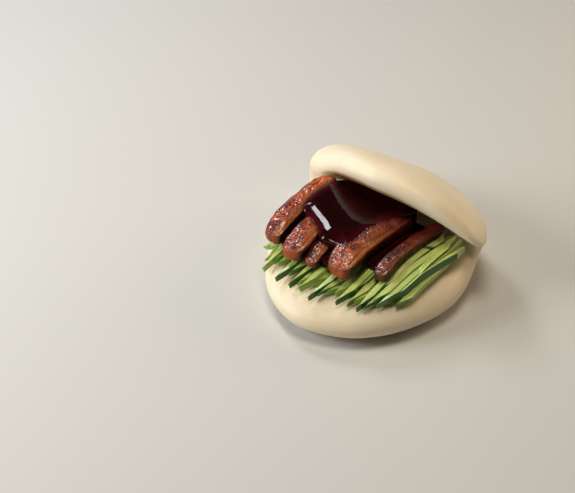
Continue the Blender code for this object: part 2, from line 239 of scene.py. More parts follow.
# %% Node group: fine bumps
bumps, given, result = new_group(
    "fine bumps",
    [("Place", "NodeSocketVector", None), ("Scale", "NodeSocketFloat", 500.0),
     ("Relief", "NodeSocketFloat", 0.0), ("Strength", "NodeSocketFloat", 0.3),
     ("Distance", "NodeSocketFloat", 0.1 * MM)],
    [("Normal", "NodeSocketVector"), ("Grain", "NodeSocketFloat")],
)
coarse = add(bumps, "ShaderNodeTexNoise", {"Vector": given["Place"], "Scale": given["Scale"], "Detail": 3.0})
finer_scale = calculate(bumps, "MULTIPLY", given["Scale"], 3.6)
finer = add(bumps, "ShaderNodeTexNoise", {"Vector": given["Place"], "Scale": finer_scale, "Detail": 2.0})
grain = calculate(bumps, "MULTIPLY_ADD", finer.outputs[0], 0.7, coarse.outputs[0])
bump = add(bumps, "ShaderNodeBump", {"Strength": given["Strength"], "Distance": given["Distance"],
                                     "Height": calculate(bumps, "ADD", grain, given["Relief"])})
bumps.links.new(bump.outputs[0], result["Normal"])
bumps.links.new(coarse.outputs[0], result["Grain"])
print("group:", bumps.name)

# %% Using the groups


def mottled(tree, place, scale, low, high):
    inputs = {"Place": place, "Scale": scale, "Low": low, "High": high}
    return add(tree, "ShaderNodeGroup", inputs, node_tree=mottling).outputs["Mask"]


def fine_bumps(tree, place, scale, strength, distance, relief=0.0):
    """The normal, and the coarser of its two grains as a value that the colours can share."""
    inputs = {"Place": place, "Scale": scale, "Relief": relief, "Strength": strength, "Distance": distance}
    outputs = add(tree, "ShaderNodeGroup", inputs, node_tree=bumps).outputs
    return outputs["Normal"], outputs["Grain"]


# %% [markdown]
# ## Helpers for meshes

# %% Mesh helpers


def merged_copy(node, name):
    """A copy of a model node in which the loose triangles are joined into one skin of quads."""
    shape = bmesh.new()
    shape.from_mesh(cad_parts[node].data)
    bmesh.ops.remove_doubles(shape, verts=shape.verts, dist=0.005 * MM)
    bmesh.ops.join_triangles(
        shape, faces=shape.faces, angle_face_threshold=radians(40), angle_shape_threshold=radians(60))
    mesh = bpy.data.meshes.new(name)
    shape.to_mesh(mesh)
    shape.free()
    return link(bpy.data.objects.new(name, mesh))


def bake_modifiers(obj):
    """Turns what the modifiers show into the object's own mesh."""
    graph = bpy.context.evaluated_depsgraph_get()
    mesh = bpy.data.meshes.new_from_object(obj.evaluated_get(graph))
    obj.modifiers.clear()
    old = obj.data
    obj.data = mesh
    mesh.name = obj.name
    if old.users == 0:
        bpy.data.meshes.remove(old)
    return obj


def subdivide(obj, levels):
    step = obj.modifiers.new("subdivide", "SUBSURF")
    step.levels = step.render_levels = levels


def remesh(obj, voxel):
    step = obj.modifiers.new("remesh", "REMESH")
    step.mode = "VOXEL"
    step.voxel_size = voxel


def relax(obj, rounds, factor=0.5):
    step = obj.modifiers.new("relax", "SMOOTH")
    step.factor = factor
    step.iterations = rounds


def points_of(mesh):
    places = np.empty(len(mesh.vertices) * 3)
    mesh.vertices.foreach_get("co", places)
    return places.reshape(-1, 3)


def normals_of(mesh):
    normals = np.empty(len(mesh.vertices) * 3)
    mesh.vertex_normals.foreach_get("vector", normals)
    return normals.reshape(-1, 3)


def move_points(mesh, places):
    mesh.vertices.foreach_set("co", places.ravel())
    mesh.update()


def store(mesh, name, values):
    kept = mesh.attributes.new(name, "FLOAT", "POINT")
    kept.data.foreach_set("value", np.asarray(values, np.float32))


def noise_at(places, size, seed=0.0):
    """Smooth noise, about -1 to 1, with lumps of the given size."""
    shift = Vector((seed * 7.3, seed * 3.1, seed * 5.7))
    return np.array([noise.noise(Vector(place) / size + shift) for place in places])


def step_between(value, low, high):
    share = np.clip((value - low) / (high - low), 0.0, 1.0)
    return share * share * (3 - 2 * share)


# %% [markdown]
# ## The dough
#
# Steamed dough is a thick, closed skin without a crust. It is very even, yet never perfectly flat: broad
# shallow lumps show in the light, and the skin has a fine tight grain. The model's shape is right, so a
# copy of it is subdivided and remeshed into small even faces, relaxed, and then moved by a fifth of a
# millimetre of smooth noise. The underside stays flat where the bun stands.

# %% Dough mesh
DOUGH_VOXEL = 0.85 * MM
DOUGH_LUMP = 0.22 * MM
DOUGH_LUMP_SIZE = 14 * MM
DOUGH_DIMPLE = 0.06 * MM
DOUGH_DIMPLE_SIZE = 4 * MM

dough = merged_copy("bun", "dough")
subdivide(dough, 2)
remesh(dough, DOUGH_VOXEL)
relax(dough, 8)
bake_modifiers(dough)
dough_points = points_of(dough.data)
off_the_floor = step_between(dough_points[:, 2], 0.0, 4 * MM)
swell = DOUGH_LUMP * noise_at(dough_points, DOUGH_LUMP_SIZE) + DOUGH_DIMPLE * noise_at(
    dough_points, DOUGH_DIMPLE_SIZE, 1.0)
dough_points += normals_of(dough.data) * ((swell - DOUGH_LUMP) * off_the_floor)[:, None]
dough_points[:, 2] = np.maximum(dough_points[:, 2], 0.0)
move_points(dough.data, dough_points)
dough.data.shade_smooth()
print("dough faces:", len(dough.data.polygons))

# %% [markdown]
# Light sinks a few millimetres into dough and comes out warmer, which softens its shadows. The Principled
# shader's subsurface does that. The colour is ivory with barely visible warmer clouds, and the skin has
# a satin gloss. Where the dough faces down near the sauce, under the lid, it is painted brown and then dark:
# mostly painted shade, with a little sauce stain. That value is stored later.

# %% Dough material
dough_skin = new_material("steamed dough")
tree = dough_skin.node_tree
place = object_place(tree)
warm = mottled(tree, place, 45.0, 0.35, 0.75)
normal, grain = fine_bumps(tree, place, 420.0, 0.12, 0.1 * MM)
dough_colour = blend_colours(tree, warm, colour(0.90, 0.78, 0.585), colour(0.87, 0.725, 0.505))
# Painted shade under the lid near the sauce, with a little sauce stain: first brown, then dark.
painted_shade_and_stain = attribute(tree, "painted_shade_and_stain")
dough_colour = blend_colours(tree, between(tree, painted_shade_and_stain, 0.0, 0.5), dough_colour, colour(0.50, 0.28, 0.12))
dough_colour = blend_colours(tree, between(tree, painted_shade_and_stain, 0.45, 0.9), dough_colour, colour(0.16, 0.050, 0.016))
shader = add(tree, "ShaderNodeBsdfPrincipled", {
    "Base Color": dough_colour,
    "Roughness": between(tree, grain, 0.3, 0.7, 0.42, 0.52),
    "Subsurface Weight": 0.35, "Subsurface Radius": (1.0, 0.55, 0.3), "Subsurface Scale": 3 * MM,
    "Specular IOR Level": 0.4, "Normal": normal,
})
finish_material(dough_skin, shader)
dough.data.materials.append(dough_skin)

# %% [markdown]
# ## Cucumber batons
#
# A cook cuts the cucumber into slanted slices and the slices into sticks. So each stick is pale flesh,
# and its pointed end is a sliver of the dark green skin, cut very obliquely. Every stick follows a path
# and repeats the same rule, which is what Geometry Nodes are for. First the paths: each one lies on the
# dough or on the sticks below, and its front tip droops.

# %% Where the batons lie
BATON_WIDTH = 3.5 * MM
BATON_HEIGHT = 3.5 * MM
BATON_SIZES = (0.84, 1.1)
BATON_ROLLS = (-16, 22)
BATON_WANDER = 0.8 * MM
BATON_SEED = 5
PATH_POINTS = 9
LAYER_STEP = 3.0 * MM
# A baton climbs to its further layer over this share of its length.
CLIMB_SHARE = 0.4

# Front tip in plan and back end in plan (mm), layer at the front and further back, length of the
# slanted end (mm), and how much of the side and of the top is dark skin.
BATONS = (
    ((-41.0, -33.5), (-27.0, -24.0), 0.4, 0.8, 6, 0.0, 0.0),
    ((-37.5, -33.0), (-36.0, 12.0), 0.4, 1.2, 9, 0.0, 0.0),
    ((-33.5, -40.5), (-31.5, 20.0), 0.0, 0.9, 9, 0.3, 0.0),
    ((-30.0, -46.5), (-30.5, 10.0), 0.3, 1.3, 13, 0.0, 0.0),
    ((-24.4, -41.0), (-22.0, 20.0), 0.0, 0.3, 8, 0.0, 0.0),
    ((-19.0, -50.5), (-13.5, 22.0), 0.3, 1.2, 12, 0.6, 0.0),
    ((-16.5, -40.5), (-11.0, 20.0), 0.0, 0.2, 8, 0.0, 0.0),
    ((-10.5, -51.0), (-3.0, 21.0), 0.3, 1.2, 14, 0.9, 0.0),
    ((-4.2, -50.5), (2.5, 22.0), 0.4, 1.3, 9, 0.0, 0.0),
    ((-1.0, -44.0), (5.0, 20.0), 0.0, 0.2, 7, 0.0, 0.0),
    ((3.4, -53.5), (8.5, 22.0), 0.4, 1.3, 16, 1.0, 0.0),
    ((8.6, -45.0), (14.0, 20.0), 0.0, 0.4, 8, 0.0, 0.0),
    ((12.0, -43.0), (16.0, 18.0), 0.1, 0.6, 7, 0.0, 0.0),
    ((16.3, -48.5), (20.0, 18.0), 0.5, 1.4, 11, 0.4, 0.0),
    ((18.8, -41.0), (23.5, 19.0), 0.6, 1.3, 12, 1.0, 1.0),
    ((22.5, -42.5), (29.0, 16.0), 0.0, 0.1, 8, 0.0, 0.0),
    ((26.3, -46.0), (32.0, 16.0), 0.5, 1.5, 12, 0.9, 0.0),
    ((30.6, -38.0), (40.5, 21.0), 0.7, 2.1, 9, 0.3, 0.0),
    ((29.0, -31.0), (33.5, 14.0), 0.9, 1.9, 8, 1.0, 0.3),
    ((36.1, -33.0), (47.0, 16.0), 0.9, 1.9, 9, 0.8, 0.0),
    ((33.5, -34.5), (39.5, 14.0), 0.0, 0.5, 8, 0.5, 0.0),
    ((40.2, -31.5), (44.0, 12.0), 0.1, 0.8, 8, 0.3, 0.0),
    ((37.5, -6.0), (42.0, 16.0), 1.5, 1.9, 7, 0.5, 0.0),
    ((33.0, 4.0), (35.5, 17.0), 2.2, 2.5, 5, 0.7, 0.2),
    ((-27.3, -40.0), (-26.5, 15.0), 0.1, 0.6, 11, 0.2, 0.0),
    ((-14.2, -45.5), (-8.0, 20.0), 0.5, 1.1, 12, 0.5, 0.0),
    ((-7.4, -47.5), (0.0, 20.0), 0.0, 0.4, 11, 0.0, 0.0),
    ((6.2, -49.0), (12.0, 20.0), 0.3, 0.9, 13, 0.4, 0.0),
    ((21.0, -46.0), (26.0, 18.0), 0.2, 0.8, 13, 0.6, 0.0),
    ((28.8, -43.0), (36.5, 18.0), 0.3, 1.3, 13, 0.8, 0.0),
    ((33.6, -38.5), (43.5, 18.0), 0.7, 1.9, 12, 0.3, 0.0),
    ((38.8, -27.0), (41.5, 15.0), 1.1, 2.2, 10, 0.7, 0.0),
)

dough_tree = BVHTree.FromObject(dough, bpy.context.evaluated_depsgraph_get())
# The sticks half follow the dough below them, and half bridge its dips at the level of the bed.
BED_LEVEL = 20.2 * MM
BED_SHARE = 0.35
PROBE_HEIGHT = 25 * MM


def dough_top(x, y):
    """Height of the lower half's top; the ray starts inside the mouth, under the lid."""
    hit = dough_tree.ray_cast(Vector((x, y, PROBE_HEIGHT)), Vector((0.0, 0.0, -1.0)))[0]
    return min(hit.z, BED_LEVEL) if hit and hit.z > 5 * MM else BED_LEVEL


def baton_path(front, back, front_layer, back_layer, slant, wander):
    """Points from the tip backwards. A baton rests on the dough or on the layer below."""
    points = []
    front, back = Vector(front), Vector(back)
    front += (back - front).normalized() * slant / 2
    for index in range(PATH_POINTS):
        share = index / (PATH_POINTS - 1)
        plan = front.lerp(back, share) * MM
        plan.x += wander * sin(pi * share)
        rest = BED_LEVEL * BED_SHARE + dough_top(plan.x, plan.y) * (1 - BED_SHARE)
        rise = front_layer + (back_layer - front_layer) * min(share / CLIMB_SHARE, 1.0)
        points.append(Vector((plan.x, plan.y, rest + 0.55 * BATON_HEIGHT + rise * LAYER_STEP)))
    return points


def paths_mesh(rows, seed):
    """All paths as one mesh of open polylines, with the values that the tree reads on their points."""
    draw = random.Random(seed)
    points = []
    edges = []
    values = {"radius_share": [], "roll": [], "slant": [], "peel_side": [], "peel_top": [], "stick": []}
    for number, (front, back, low, high, slant, side, top) in enumerate(rows):
        start = len(points)
        points += baton_path(front, back, low, high, slant, draw.uniform(-BATON_WANDER, BATON_WANDER))
        edges += [(start + i, start + i + 1) for i in range(PATH_POINTS - 1)]
        size = draw.uniform(*BATON_SIZES)
        roll = radians(draw.uniform(*BATON_ROLLS))
        for name, value in zip(values, (size, roll, slant * MM, side, top, number)):
            values[name] += [value] * PATH_POINTS
    mesh = bpy.data.meshes.new("baton_paths")
    mesh.from_pydata(points, edges, [])
    for name, entries in values.items():
        store(mesh, name, entries)
    return mesh


cucumber = link(bpy.data.objects.new("cucumber_batons", paths_mesh(BATONS, BATON_SEED)))
print("batons:", len(BATONS))

# %% [markdown]
# The tree turns each path into a stick: Mesh to Curve, then Curve to Mesh along a rectangle with rounded
# corners. A shear that fades away from the tip makes the slanted end. The tree also writes where on the
# stick each point is, so that the material can paint the skin and the streaks along it.

# %% Geometry Nodes: sticks along paths


def new_geometry_tree(name, inputs):
    group = bpy.data.node_groups.new(name, "GeometryNodeTree")
    group.interface.new_socket("Geometry", in_out="INPUT", socket_type="NodeSocketGeometry")
    for socket, kind, value in inputs:
        entry = group.interface.new_socket(socket, in_out="INPUT", socket_type=kind)
        if value is not None:
            entry.default_value = value
    group.interface.new_socket("Geometry", in_out="OUTPUT", socket_type="NodeSocketGeometry")
    return group, group.nodes.new("NodeGroupInput").outputs, group.nodes.new("NodeGroupOutput").inputs


def read(tree, name):
    return add(tree, "GeometryNodeInputNamedAttribute", {"Name": name}, data_type="FLOAT").outputs[0]


def write(tree, geometry, name, value, kind="FLOAT"):
    node = add(tree, "GeometryNodeStoreNamedAttribute", {"Geometry": geometry, "Name": name, "Value": value},
               data_type=kind, domain="POINT")
    return node.outputs[0]


def scaled(tree, vector, factor):
    return add(tree, "ShaderNodeVectorMath", {0: vector, "Scale": factor}, operation="SCALE").outputs[0]


sticks, given, result = new_geometry_tree("sticks along paths", [
    ("Width", "NodeSocketFloat", BATON_WIDTH), ("Height", "NodeSocketFloat", BATON_HEIGHT),
    ("Edge radius", "NodeSocketFloat", 0.35 * MM), ("Points", "NodeSocketInt", 30),
    ("Tip length", "NodeSocketFloat", 12 * MM), ("Material", "NodeSocketMaterial", None)])
curve = add(sticks, "GeometryNodeMeshToCurve", {0: given["Geometry"]}).outputs[0]
curve = add(sticks, "GeometryNodeCurveSplineType", {"Curve": curve}, spline_type="CATMULL_ROM").outputs[0]
curve = add(sticks, "GeometryNodeResampleCurve", {"Curve": curve, "Count": given["Points"]}).outputs[0]
curve = add(sticks, "GeometryNodeSetCurveNormal", {"Curve": curve}, mode="Z_UP").outputs[0]
curve = add(sticks, "GeometryNodeSetCurveRadius",
            {"Curve": curve, "Radius": read(sticks, "radius_share")}).outputs[0]
curve = add(sticks, "GeometryNodeSetCurveTilt", {"Curve": curve, "Tilt": read(sticks, "roll")}).outputs[0]
along = add(sticks, "GeometryNodeSplineParameter").outputs["Length"]
whole = add(sticks, "GeometryNodeSplineLength").outputs["Length"]
curve = write(sticks, curve, "along", along)
curve = write(sticks, curve, "left_over", calculate(sticks, "SUBTRACT", whole, along))
curve = write(sticks, curve, "run", add(sticks, "GeometryNodeInputTangent").outputs[0], "FLOAT_VECTOR")
profile = add(sticks, "GeometryNodeCurvePrimitiveQuadrilateral",
              {"Width": given["Width"], "Height": given["Height"]}).outputs[0]
profile = add(sticks, "GeometryNodeFilletCurve",
              {"Curve": profile, "Count": 3, "Radius": given["Edge radius"]},
              mode="POLY").outputs[0]
spot = add(sticks, "ShaderNodeSeparateXYZ", {0: add(sticks, "GeometryNodeInputPosition").outputs[0]}).outputs
half_width = calculate(sticks, "MULTIPLY", given["Width"], 0.5)
half_height = calculate(sticks, "MULTIPLY", given["Height"], 0.5)
profile = write(sticks, profile, "side", calculate(sticks, "DIVIDE", spot["X"], half_width))
profile = write(sticks, profile, "up", calculate(sticks, "DIVIDE", spot["Y"], half_height))
solid = add(sticks, "GeometryNodeCurveToMesh",
            {"Curve": curve, "Profile Curve": profile, "Fill Caps": True}).outputs[0]
fade = calculate(sticks, "SUBTRACT", 1.0, calculate(
    sticks, "DIVIDE", read(sticks, "along"), given["Tip length"], clamp=True))
back_fade = calculate(sticks, "SUBTRACT", 1.0, calculate(
    sticks, "DIVIDE", read(sticks, "left_over"), given["Tip length"], clamp=True))
lean = calculate(sticks, "MULTIPLY", read(sticks, "side"), read(sticks, "slant"))
lean = calculate(sticks, "MULTIPLY", lean, 0.5)
shear = calculate(sticks, "MULTIPLY", lean, calculate(sticks, "SUBTRACT", fade, back_fade))
run = add(sticks, "GeometryNodeInputNamedAttribute", {"Name": "run"}, data_type="FLOAT_VECTOR").outputs[0]
solid = add(sticks, "GeometryNodeSetPosition",
            {"Geometry": solid, "Offset": scaled(sticks, run, shear)}).outputs[0]
solid = add(sticks, "GeometryNodeRealizeInstances", {0: solid}).outputs[0]
solid = add(sticks, "GeometryNodeSetMaterial", {"Geometry": solid, "Material": given["Material"]}).outputs[0]
sticks.links.new(solid, result["Geometry"])


def run_tree(obj, tree, **values):
    """Runs a tree on the object with inputs given by name, and keeps the result as a plain mesh."""
    step = obj.modifiers.new(tree.name, "NODES")
    step.node_group = tree
    sockets = {item.name: item.identifier for item in tree.interface.items_tree if item.in_out == "INPUT"}
    for name, value in values.items():
        step[sockets[name.replace("_", " ")]] = value
    return bake_modifiers(obj)


# %% [markdown]
# The flesh is pale yellow-green and a little translucent, with fine wet streaks along the stick. The
# slanted end and some sides are the dark skin.

# %% Cucumber material


flesh = new_material("cucumber")
tree = flesh.node_tree
along = attribute(tree, "along")
side = attribute(tree, "side")
up = attribute(tree, "up")
stick = attribute(tree, "stick")
streak_place = add(tree, "ShaderNodeCombineXYZ", {
    0: calculate(tree, "MULTIPLY", along, 60.0),
    1: calculate(tree, "MULTIPLY_ADD", stick, 5.3, calculate(tree, "MULTIPLY", side, 2.2)),
    2: calculate(tree, "MULTIPLY", up, 2.2)}).outputs[0]
streaks = add(tree, "ShaderNodeTexNoise", {"Vector": streak_place, "Scale": 2.2, "Detail": 4.0}).outputs[0]
tone = add(tree, "ShaderNodeTexNoise", {"Vector": streak_place, "Scale": 0.35, "Detail": 1.0}).outputs[0]
cut_end = between(tree, along, 0.0, 2.6 * MM, 1.0, 0.0)
tip = calculate(tree, "MULTIPLY", cut_end, between(tree, attribute(tree, "peel_side"), 0.0, 0.6, 0.3, 1.0))
peel = calculate(tree, "MULTIPLY", attribute(tree, "peel_side"), between(tree, side, 0.75, 0.98))
peel_top = calculate(tree, "MULTIPLY", attribute(tree, "peel_top"), between(tree, up, 0.6, 0.95))
skin = calculate(tree, "MAXIMUM", calculate(tree, "MAXIMUM", peel, peel_top), tip)
pale = blend_colours(tree, between(tree, streaks, 0.35, 0.7),
                     colour(0.47, 0.55, 0.12), colour(0.72, 0.76, 0.28))
pale = blend_colours(tree, between(tree, tone, 0.4, 0.65, 0.0, 0.6), pale, colour(0.30, 0.45, 0.10))
under_skin = blend_colours(tree, between(tree, skin, 0.05, 0.5), pale, colour(0.16, 0.36, 0.06))
dark = blend_colours(tree, streaks, colour(0.012, 0.060, 0.014), colour(0.08, 0.22, 0.04))
shader = add(tree, "ShaderNodeBsdfPrincipled", {
    "Base Color": blend_colours(tree, between(tree, skin, 0.45, 0.8), under_skin, dark),
    "Roughness": between(tree, streaks, 0.3, 0.7, 0.2, 0.42),
    "Subsurface Weight": 0.3, "Subsurface Radius": (0.7, 1.0, 0.3), "Subsurface Scale": 1.2 * MM,
    "Normal": add(tree, "ShaderNodeBump",
                  {"Strength": 0.35, "Distance": 0.12 * MM, "Height": streaks}).outputs[0],
})
finish_material(flesh, shader)

# %% Batons run through the tree
run_tree(cucumber, sticks, Material=flesh)
cucumber.data.set_sharp_from_angle(angle=radians(40))
print("cucumber faces:", len(cucumber.data.polygons))

# %% [markdown]
# ## Roast meat
#
# Each slice is a thick strip of glazed roast meat. Its top is the roasted skin: finely wrinkled, dark red
# under a sticky glaze that glints. Along its right edge the cut shows golden fat, the front end is
# smoother and orange-brown, and the sides are dark fibres, with painted shade that darkens them further
# down. A fine remesh of the model's slice carries real wrinkles, and values on its points say which of these
# surfaces lies where.

# %% Measures of the meat
MEAT_VOXEL = 0.36 * MM
SWELL = 0.55 * MM
SWELL_SIZE = 6.5 * MM
WRINKLE = 0.22 * MM
WRINKLE_SIZE = 1.55 * MM
PIMPLE = 0.09 * MM
PIMPLE_SIZE = 0.8 * MM
FIBRE = 0.24 * MM
FIBRE_SIZE = 0.9 * MM
# For each slice: how much wider each side swells (mm), how much painted shade darkens the whole slice,
# and between which two places along Y (mm) its skin turns mellow, and between which two it turns dark
# under the sauce's film and the painted shade beneath the lid.
NEVER = (90, 99)
SLICE_LOOKS = {
    "meat_1": {"fatter": 0.8, "whole_slice_shade": 0.0, "mellow": (-16, -2), "sauce_film_and_shade": NEVER},
    "meat_2": {"fatter": 1.3, "whole_slice_shade": 0.15, "mellow": (-26, -12), "sauce_film_and_shade": (-15, -9)},
    "meat_3": {"fatter": 1.0, "whole_slice_shade": 0.5, "mellow": NEVER, "sauce_film_and_shade": (-27, -20)},
    "meat_4": {"fatter": 1.4, "whole_slice_shade": 0.1, "mellow": (-14, -4), "sauce_film_and_shade": (-19, 2)},
    "meat_5": {"fatter": 1.2, "whole_slice_shade": 0.95, "mellow": NEVER, "sauce_film_and_shade": (-8, 10)},
}

# %% Across a slice


def across_share(places):
    """Where each point lies between the two sides of its slice, -1 to 1; a slice runs along Y."""
    steps = np.arange(places[:, 1].min(), places[:, 1].max() + 2 * MM, 2 * MM)
    bins = np.clip(np.digitize(places[:, 1], steps) - 1, 0, len(steps) - 2)
    across = [places[bins == index, 0] for index in range(len(steps) - 1)]
    lows = np.array([group.min() if len(group) else 0.0 for group in across])
    highs = np.array([group.max() if len(group) else 0.0 for group in across])
    middles = steps[:-1] + MM
    low = np.interp(places[:, 1], middles, lows)
    high = np.interp(places[:, 1], middles, highs)
    return np.clip((2 * places[:, 0] - low - high) / (high - low), -1.0, 1.0)


# %% [markdown]
# A slice reads its own shape: what faces up is roasted skin, what lies at the front end is the roasted
# end, the right-hand edge of the skin is golden, and the sides get painted shade that grows darker further
# down. The skin then rises in wrinkles, which are the ridges of a smooth noise, while the cut sides get long
# low fibres.

# %% Meat meshes


def make_slice(node):
    piece = merged_copy(node, node.replace("meat", "roast_slice"))
    subdivide(piece, 1)
    remesh(piece, MEAT_VOXEL)
    relax(piece, 3)
    bake_modifiers(piece)
    mesh = piece.data
    places = points_of(mesh)
    normals = normals_of(mesh)
    seed = 10.0 * int(node[-1])
    looks = SLICE_LOOKS[node]
    front_end = places[:, 1].min()
    top = places[:, 2].max()
    across = across_share(places)
    skin = step_between(normals[:, 2], 0.25, 0.7)
    front = step_between(-normals[:, 1], 0.3, 0.7) * step_between(
        front_end + 5 * MM - places[:, 1], 0.0, 4 * MM)
    wander = noise_at(places, SWELL_SIZE, seed + 4)
    grain = places * np.array((1.0, 0.7, 1.0))
    wrinkles = 1 - 2.4 * np.abs(noise_at(grain, WRINKLE_SIZE, seed))
    pimples = noise_at(places, PIMPLE_SIZE, seed + 1)
    gold = step_between(across + 0.35 * wander + 0.3 * pimples, 0.1, 0.8)
    gold *= step_between(normals[:, 2], 0.0, 0.45)
    # Painted shade: the further a point lies below the slice's top, the darker its side is painted.
    deep = step_between(top - places[:, 2], 2.2 * MM, 6.2 * MM)
    along = places[:, 1] / MM + 3 * wander
    mellow, sauce_film_and_shade = (step_between(along, *looks[name]) for name in ("mellow", "sauce_film_and_shade"))
    swell = noise_at(places, SWELL_SIZE, seed + 2)
    fibres = noise_at(places * np.array((1.0, 0.16, 1.0)), FIBRE_SIZE, seed + 3)
    crust = np.maximum(skin * (1 - 0.6 * gold), 0.35 * front)
    lift = SWELL * swell + crust * (WRINKLE * (wrinkles - 0.6) + PIMPLE * pimples)
    lift += (1 - crust) * FIBRE * (fibres - 0.3)
    lift += looks["fatter"] * MM * (1 - skin)
    places += normals * (lift * step_between(normals[:, 2], -0.95, -0.6))[:, None]
    move_points(mesh, places)
    for name, values in (("skin", skin), ("front", front), ("gold", gold), ("deep", deep), ("mellow", mellow),
                         ("sauce_film_and_shade", sauce_film_and_shade), ("whole_slice_shade", np.full(len(places), looks["whole_slice_shade"])),
                         ("relief", 0.5 + 0.45 * (wrinkles - 0.45) + 0.25 * pimples)):
        store(mesh, name, values)
    mesh.shade_smooth()
    return piece


slices = [make_slice(f"meat_{number}") for number in range(1, 6)]
print("slice faces:", [len(piece.data.polygons) for piece in slices])

# %% Meat material
glaze = new_material("roast meat")
tree = glaze.node_tree
place = object_place(tree)
skin = attribute(tree, "skin")
gold = attribute(tree, "gold")
along_grain = add(tree, "ShaderNodeMapping", {"Vector": place, "Scale": (1.0, 0.5, 1.0)}).outputs[0]
burnt = mottled(tree, along_grain, 210.0, 0.43, 0.58)
flecks = mottled(tree, along_grain, 640.0, 0.38, 0.62)
fibre_place = add(tree, "ShaderNodeMapping", {"Vector": place, "Scale": (1.0, 0.1, 1.0)}).outputs[0]
fibres = add(tree, "ShaderNodeTexNoise", {"Vector": fibre_place, "Scale": 950.0, "Detail": 5.0}).outputs[0]
normal, grain = fine_bumps(tree, place, 900.0, 0.45, 0.2 * MM,
                           calculate(tree, "MULTIPLY_ADD", flecks, 0.5, fibres))
height = calculate(tree, "MULTIPLY_ADD", flecks, 0.25, attribute(tree, "relief"))
ridge = blend_colours(tree, burnt, colour(0.60, 0.105, 0.018), colour(0.13, 0.007, 0.005))
# Painted shade in the wrinkles: down in their valleys the crust is darker, on their ridges lighter.
crust = blend_colours(tree, between(tree, height, 0.25, 0.85), colour(0.100, 0.006, 0.004), ridge)
tender = blend_colours(tree, flecks, colour(0.26, 0.028, 0.006), colour(0.60, 0.130, 0.016))
crust = blend_colours(tree, calculate(tree, "MULTIPLY", attribute(tree, "mellow"), 0.8), crust, tender)
fat = blend_colours(tree, fibres, colour(0.36, 0.070, 0.010), colour(0.74, 0.250, 0.035))
fat = blend_colours(tree, calculate(tree, "MULTIPLY", flecks, 0.5), fat, colour(0.20, 0.022, 0.007))
crust = blend_colours(tree, calculate(tree, "MULTIPLY", gold, 0.8), crust, fat)
cut = blend_colours(tree, between(tree, fibres, 0.35, 0.65),
                    colour(0.020, 0.003, 0.002), colour(0.15, 0.030, 0.009))
cut = blend_colours(tree, gold, cut, fat)
# Painted shade on the lower part of the sides.
cut = blend_colours(tree, attribute(tree, "deep"), cut, colour(0.016, 0.002, 0.002))
roast_end = blend_colours(tree, fibres, colour(0.22, 0.030, 0.006), colour(0.60, 0.150, 0.018))
roast_end = blend_colours(tree, calculate(tree, "MULTIPLY", burnt, 0.6), roast_end,
                          colour(0.14, 0.014, 0.010))
body = blend_colours(tree, skin, blend_colours(tree, attribute(tree, "front"), cut, roast_end), crust)
# Painted shade: each slice is darkened as a whole by its own share.
body = blend_colours(tree, attribute(tree, "whole_slice_shade"), body, colour(0.35, 0.30, 0.30), "MULTIPLY")
# Dark red towards the back: a film of sauce, and painted shade beneath the lid.
body = blend_colours(tree, calculate(tree, "MULTIPLY", attribute(tree, "sauce_film_and_shade"), 0.85), body,
                     colour(0.11, 0.006, 0.005))
body = blend_colours(tree, attribute(tree, "soak"), body, colour(0.045, 0.003, 0.004))
shader = add(tree, "ShaderNodeBsdfPrincipled", {
    "Base Color": body,
    "Roughness": between(tree, grain, 0.3, 0.7, 0.34, 0.52), "Specular IOR Level": 0.35,
    "Coat Weight": between(tree, skin, 0.0, 1.0, 0.1, 0.85), "Coat Roughness": 0.15,
    "Subsurface Weight": 0.12, "Subsurface Radius": (1.0, 0.3, 0.1), "Subsurface Scale": 1.0 * MM,
    "Normal": normal,
})
finish_material(glaze, shader)
for piece in slices:
    piece.data.materials.append(glaze)

# %% [markdown]
# ## The sauce
#
# Thick sauce covers the back of the slices, runs down between them, and ends in a rounded lip. It is so
# dark that its shape is told mostly by reflections, so its surface has to be really smooth. It is built of
# closed pools: a large one over the slices, one in the gap between the last two slices, and three small
# ones that have seeped forward. The gap pool and the small ones are sauce, and they also stand as dark
# painted shade in the gaps between the slices. A remesh and a relaxing step round their lips as surface
# tension does.

# %% Where the sauce lies
# Each rim point: x and y in mm, the height of the surface there, and how far inwards it keeps rising.
POOL_TOP = 40.7
POOL_BOTTOM = 31.0
POOL_RIM = (
    (-32.5, -12.0, 36.4, 10.0), (-27.5, -15.5, 35.9, 11.5), (-21.5, -19.3, 35.5, 12.5),
    (-15.5, -22.8, 35.2, 13.0), (-12.0, -25.5, 35.0, 13.0), (-9.0, -27.0, 35.0, 13.0),
    (-6.0, -26.5, 35.4, 13.0), (-1.0, -26.5, 36.0, 14.0),
    (5.0, -26.0, 36.4, 12.0), (6.5, -17.0, 36.8, 11.0), (7.5, -8.0, 37.2, 10.0), (9.5, 0.0, 37.6, 9.0),
    (13.0, 8.0, 37.8, 8.0), (17.0, 14.0, 38.2, 5.0), (18.0, 19.5, 38.4, 4.0),
    (4.0, 21.0, 38.4, 3.0), (-8.0, 21.5, 38.4, 3.0), (-20.0, 20.0, 38.4, 3.0), (-29.5, 15.0, 38.4, 3.0),
    (-33.5, 3.0, 38.0, 6.0),
)
# The gully fills the gap between the fourth and the fifth slice, down to the cucumber: sauce that also
# stands as dark painted shade in that gap.
CUCUMBER_LEVEL = 28.0
GULLY_TOP = 30.2
GULLY_RIM = (
    (15.5, -22.0, 29.4, 4.0), (20.0, -23.0, 29.2, 4.0), (24.0, -20.0, 29.2, 4.0), (26.0, -10.0, 29.4, 4.0),
    (27.5, 4.0, 29.4, 4.0), (28.5, 15.0, 29.4, 4.0), (24.0, 20.0, 29.4, 4.0), (15.0, 19.5, 29.4, 4.0),
    (12.0, 10.0, 29.4, 4.0), (12.0, -5.0, 29.4, 4.0), (13.5, -16.0, 29.4, 4.0),
)
